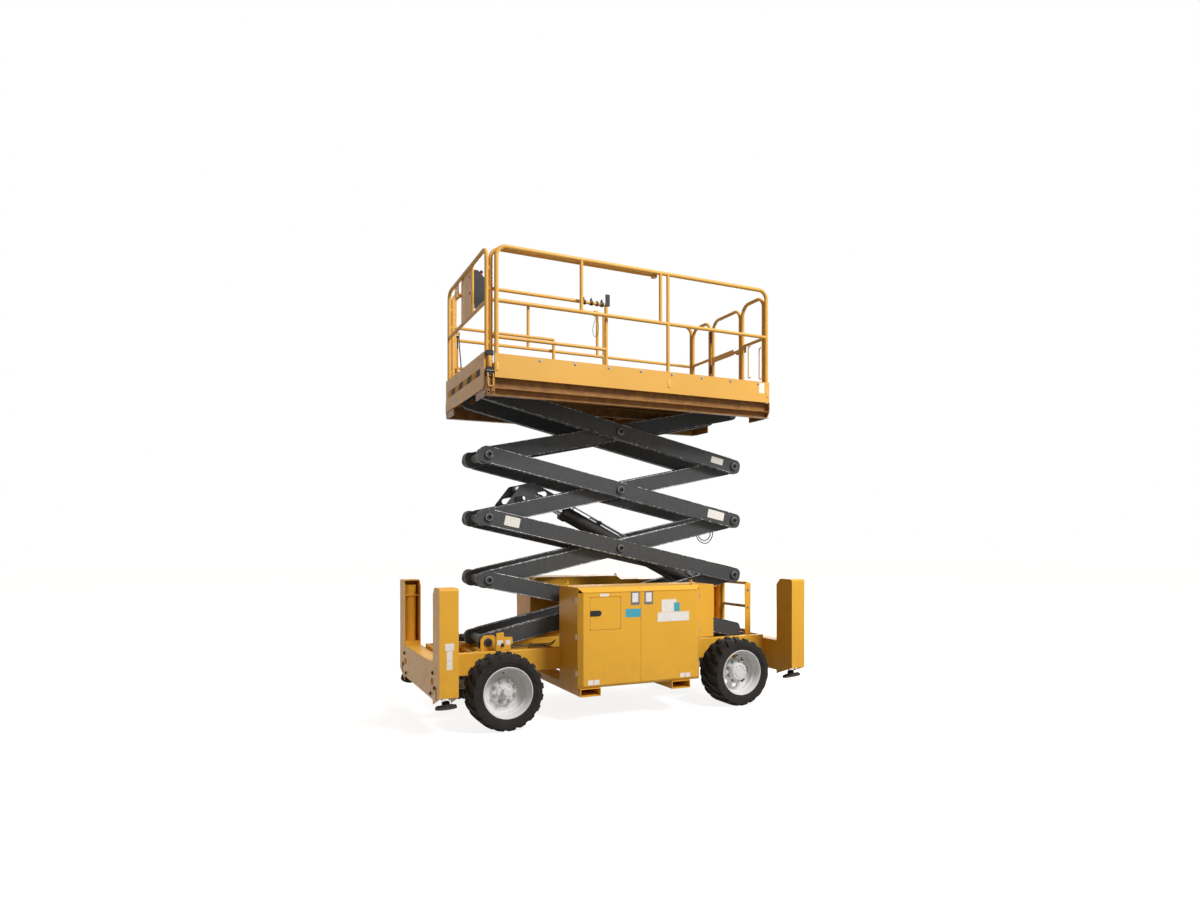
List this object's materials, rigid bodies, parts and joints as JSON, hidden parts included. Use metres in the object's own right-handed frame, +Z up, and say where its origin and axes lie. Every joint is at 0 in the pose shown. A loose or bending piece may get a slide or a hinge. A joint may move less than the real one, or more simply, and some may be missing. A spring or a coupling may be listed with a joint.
{
  "type": "rough-terrain scissor lift",
  "caption": "Self-propelled rough-terrain scissor lift with a railed platform, sliding deck, side cabinets and corner outriggers.",
  "frame": {"origin": "on the ground under the middle of the machine's length and width", "axes": "+X is the driving direction, +Y the machine's left, +Z up"},
  "size_m": [3.822, 1.78, 4.255],
  "materials": {
    "yellow_paint": "gloss",
    "grey_arms": "satin",
    "black_paint": "satin",
    "chrome_rod": "polished",
    "tyre": "matt",
    "rim_paint": "satin",
    "black_plastic": "matt",
    "deck_steel": "galvanised",
    "pad_rubber": "matt"
  },
  "bodies": {
    "chassis": {"chassis_frame": "yellow_paint", "front_axle": "black_paint", "steering_cylinder": "black_paint", "rear_axle": "black_paint", "slide_tracks": "grey_arms", "fork_pockets": "yellow_paint", "rear_ladder": "yellow_paint", "front_outrigger_housings": "yellow_paint", "rear_outrigger_housings": "yellow_paint", "left_cabinet": "yellow_paint", "right_cabinet": "yellow_paint", "hydraulic_unit": "black_paint", "engine_block": "black_paint"},
    "inner_arms_1": {"inner_arms_1": "grey_arms"},
    "outer_arms_1": {"outer_arms_1": "grey_arms"},
    "inner_arms_2": {"inner_arms_2": "grey_arms", "long_hose": "black_plastic", "short_hose": "black_plastic"},
    "outer_arms_2": {"outer_arms_2": "grey_arms"},
    "inner_arms_3": {"inner_arms_3": "grey_arms"},
    "outer_arms_3": {"outer_arms_3": "grey_arms"},
    "inner_arms_4": {"inner_arms_4": "grey_arms"},
    "outer_arms_4": {"outer_arms_4": "grey_arms"},
    "lift_cylinder": {"lift_cylinder": "black_paint"},
    "lift_rod": {"lift_rod": "chrome_rod"},
    "platform": {"platform_frame": "yellow_paint", "platform_floor": "deck_steel", "left_rails": "yellow_paint", "right_rails": "yellow_paint", "rear_rails": "yellow_paint"},
    "extension": {"extension_deck": "yellow_paint", "extension_rails": "yellow_paint", "control_box": "black_plastic", "control_cable": "black_plastic", "right_lanyard": "black_plastic"},
    "entry_gate": {"entry_gate": "yellow_paint"},
    "left_knuckle": {"left_knuckle": "black_paint"},
    "right_knuckle": {"right_knuckle": "black_paint"},
    "steering_rod": {"steering_rod": "chrome_rod"},
    "front_left_wheel": {"front_left_wheel_rim": "rim_paint", "front_left_wheel_tyre": "tyre"},
    "front_right_wheel": {"front_right_wheel_rim": "rim_paint", "front_right_wheel_tyre": "tyre"},
    "rear_left_wheel": {"rear_left_wheel_rim": "rim_paint", "rear_left_wheel_tyre": "tyre"},
    "rear_right_wheel": {"rear_right_wheel_rim": "rim_paint", "rear_right_wheel_tyre": "tyre"},
    "left_front_door": {"left_front_door": "yellow_paint"},
    "left_rear_door": {"left_rear_door": "yellow_paint"},
    "right_front_door": {"right_front_door": "yellow_paint"},
    "right_rear_door": {"right_rear_door": "yellow_paint"},
    "control_flap": {"control_flap": "yellow_paint"},
    "front_left_jack": {"front_left_jack": "chrome_rod"},
    "front_left_pad": {"front_left_pad": "pad_rubber"},
    "front_right_jack": {"front_right_jack": "chrome_rod"},
    "front_right_pad": {"front_right_pad": "pad_rubber"},
    "rear_left_jack": {"rear_left_jack": "chrome_rod"},
    "rear_left_pad": {"rear_left_pad": "pad_rubber"},
    "rear_right_jack": {"rear_right_jack": "chrome_rod"},
    "rear_right_pad": {"rear_right_pad": "pad_rubber"}
  },
  "joints": [
    {"name": "lift", "type": "hinge", "parent": "chassis", "child": "inner_arms_1", "pos_m": [1.31, 0, 0.705], "axis": [0, 1, 0], "range_deg": [-8.58, 42.92]},
    {"name": "outer_1_centre_pin", "type": "hinge", "parent": "inner_arms_1", "child": "outer_arms_1", "pos_m": [-0.0492, 0, 0.996], "axis": [0, 1, 0], "range_deg": [-85.84, 17.17]},
    {"name": "outer_2_rear_pin", "type": "hinge", "parent": "inner_arms_1", "child": "outer_arms_2", "pos_m": [-1.4084, 0, 1.287], "axis": [0, 1, 0], "range_deg": [-85.84, 17.17]},
    {"name": "inner_2_centre_pin", "type": "hinge", "parent": "outer_arms_2", "child": "inner_arms_2", "pos_m": [-0.0492, 0, 1.578], "axis": [0, 1, 0], "range_deg": [-17.17, 85.84]},
    {"name": "inner_3_front_pin", "type": "hinge", "parent": "outer_arms_2", "child": "inner_arms_3", "pos_m": [1.31, 0, 1.869], "axis": [0, 1, 0], "range_deg": [-17.17, 85.84]},
    {"name": "outer_3_centre_pin", "type": "hinge", "parent": "inner_arms_3", "child": "outer_arms_3", "pos_m": [-0.0492, 0, 2.16], "axis": [0, 1, 0], "range_deg": [-85.84, 17.17]},
    {"name": "outer_4_rear_pin", "type": "hinge", "parent": "inner_arms_3", "child": "outer_arms_4", "pos_m": [-1.4084, 0, 2.451], "axis": [0, 1, 0], "range_deg": [-85.84, 17.17]},
    {"name": "inner_4_centre_pin", "type": "hinge", "parent": "outer_arms_4", "child": "inner_arms_4", "pos_m": [-0.0492, 0, 2.742], "axis": [0, 1, 0], "range_deg": [-17.17, 85.84]},
    {"name": "platform_pin", "type": "hinge", "parent": "outer_arms_4", "child": "platform", "pos_m": [1.31, 0, 3.033], "axis": [0, 1, 0], "range_deg": [-8.59, 42.93]},
    {"name": "cylinder_foot", "type": "hinge", "parent": "inner_arms_1", "child": "lift_cylinder", "pos_m": [-1.15449, 0, 1.13549], "axis": [0, 1, 0], "range_deg": [-83.7, 16.74]},
    {"name": "cylinder_stroke", "type": "slide", "parent": "lift_cylinder", "child": "lift_rod", "axis": [0.8932, 0, 0.4496], "range_m": [-0.2181, 1.0871]},
    {"name": "deck_slide", "type": "slide", "parent": "platform", "child": "extension", "axis": [1, 0, 0], "range_m": [0, 0.9]},
    {"name": "gate_hinge", "type": "hinge", "parent": "platform", "child": "entry_gate", "pos_m": [-1.535, -0.285, 3.69], "axis": [0, 0, 1], "range_deg": [-85, 0]},
    {"name": "steer_left", "type": "hinge", "parent": "chassis", "child": "left_knuckle", "pos_m": [1.3, 0.56, 0.3365], "axis": [0, 0, 1], "range_deg": [-28, 28]},
    {"name": "steer_right", "type": "hinge", "parent": "chassis", "child": "right_knuckle", "pos_m": [1.3, -0.56, 0.3365], "axis": [0, 0, 1], "range_deg": [-28.01, 28.01]},
    {"name": "steering_stroke", "type": "slide", "parent": "chassis", "child": "steering_rod", "axis": [0, 1, 0], "range_m": [-0.0745, 0.0745]},
    {"name": "front_left_wheel_spin", "type": "hinge", "parent": "left_knuckle", "child": "front_left_wheel", "pos_m": [1.3, 0.74, 0.3365], "axis": [0, 1, 0], "continuous": true},
    {"name": "front_right_wheel_spin", "type": "hinge", "parent": "right_knuckle", "child": "front_right_wheel", "pos_m": [1.3, -0.74, 0.3365], "axis": [0, 1, 0], "continuous": true},
    {"name": "rear_left_wheel_spin", "type": "hinge", "parent": "chassis", "child": "rear_left_wheel", "pos_m": [-1.13, 0.74, 0.3365], "axis": [0, 1, 0], "continuous": true},
    {"name": "rear_right_wheel_spin", "type": "hinge", "parent": "chassis", "child": "rear_right_wheel", "pos_m": [-1.13, -0.74, 0.3365], "axis": [0, 1, 0], "continuous": true},
    {"name": "left_front_door_hinge", "type": "hinge", "parent": "chassis", "child": "left_front_door", "pos_m": [0.65, 0.834, 0.78], "axis": [0, 0, 1], "range_deg": [-110, 0]},
    {"name": "left_rear_door_hinge", "type": "hinge", "parent": "chassis", "child": "left_rear_door", "pos_m": [-0.65, 0.834, 0.78], "axis": [0, 0, 1], "range_deg": [0, 110]},
    {"name": "right_front_door_hinge", "type": "hinge", "parent": "chassis", "child": "right_front_door", "pos_m": [0.65, -0.834, 0.78], "axis": [0, 0, 1], "range_deg": [0, 110]},
    {"name": "right_rear_door_hinge", "type": "hinge", "parent": "chassis", "child": "right_rear_door", "pos_m": [-0.65, -0.834, 0.78], "axis": [0, 0, 1], "range_deg": [-110, 0]},
    {"name": "flap_hinge", "type": "hinge", "parent": "left_front_door", "child": "control_flap", "pos_m": [0.234, 0.884, 0.99], "axis": [0, 0, 1], "range_deg": [0, 100]},
    {"name": "front_left_jack_stroke", "type": "slide", "parent": "chassis", "child": "front_left_jack", "axis": [0, 0, -1], "range_m": [0, 0.38]},
    {"name": "front_left_pad_tilt", "type": "hinge", "parent": "front_left_jack", "child": "front_left_pad", "pos_m": [1.819, 0.765, 0.288], "axis": [1, 0, 0], "range_deg": [-20.01, 0]},
    {"name": "front_right_jack_stroke", "type": "slide", "parent": "chassis", "child": "front_right_jack", "axis": [0, 0, -1], "range_m": [0, 0.38]},
    {"name": "front_right_pad_tilt", "type": "hinge", "parent": "front_right_jack", "child": "front_right_pad", "pos_m": [1.819, -0.765, 0.288], "axis": [1, 0, 0], "range_deg": [0, 20.01]},
    {"name": "rear_left_jack_stroke", "type": "slide", "parent": "chassis", "child": "rear_left_jack", "axis": [0, 0, -1], "range_m": [0, 0.38]},
    {"name": "rear_left_pad_tilt", "type": "hinge", "parent": "rear_left_jack", "child": "rear_left_pad", "pos_m": [-1.819, 0.765, 0.288], "axis": [1, 0, 0], "range_deg": [-20.01, 0]},
    {"name": "rear_right_jack_stroke", "type": "slide", "parent": "chassis", "child": "rear_right_jack", "axis": [0, 0, -1], "range_m": [0, 0.38]},
    {"name": "rear_right_pad_tilt", "type": "hinge", "parent": "rear_right_jack", "child": "rear_right_pad", "pos_m": [-1.819, -0.765, 0.288], "axis": [1, 0, 0], "range_deg": [0, 20.01]}
  ],
  "couplings": [
    {"joint": "outer_1_centre_pin", "follows": "lift", "ratio": -2},
    {"joint": "outer_2_rear_pin", "follows": "lift", "ratio": -2},
    {"joint": "inner_2_centre_pin", "follows": "lift", "ratio": 2},
    {"joint": "inner_3_front_pin", "follows": "lift", "ratio": 2},
    {"joint": "outer_3_centre_pin", "follows": "lift", "ratio": -2},
    {"joint": "outer_4_rear_pin", "follows": "lift", "ratio": -2},
    {"joint": "inner_4_centre_pin", "follows": "lift", "ratio": 2},
    {"joint": "platform_pin", "follows": "lift", "ratio": 1},
    {"joint": "cylinder_foot", "follows": "lift", "ratio": -1.95},
    {"joint": "cylinder_stroke", "follows": "lift", "m_per_rad": 1.45},
    {"joint": "steer_right", "follows": "steer_left", "ratio": 1},
    {"joint": "steering_stroke", "follows": "steer_left", "m_per_rad": 0.15232},
    {"joint": "front_left_pad_tilt", "follows": "front_left_jack_stroke", "rad_per_m": -0.91859},
    {"joint": "front_right_pad_tilt", "follows": "front_right_jack_stroke", "rad_per_m": 0.91859},
    {"joint": "rear_left_pad_tilt", "follows": "rear_left_jack_stroke", "rad_per_m": -0.91859},
    {"joint": "rear_right_pad_tilt", "follows": "rear_right_jack_stroke", "rad_per_m": 0.91859}
  ]
}
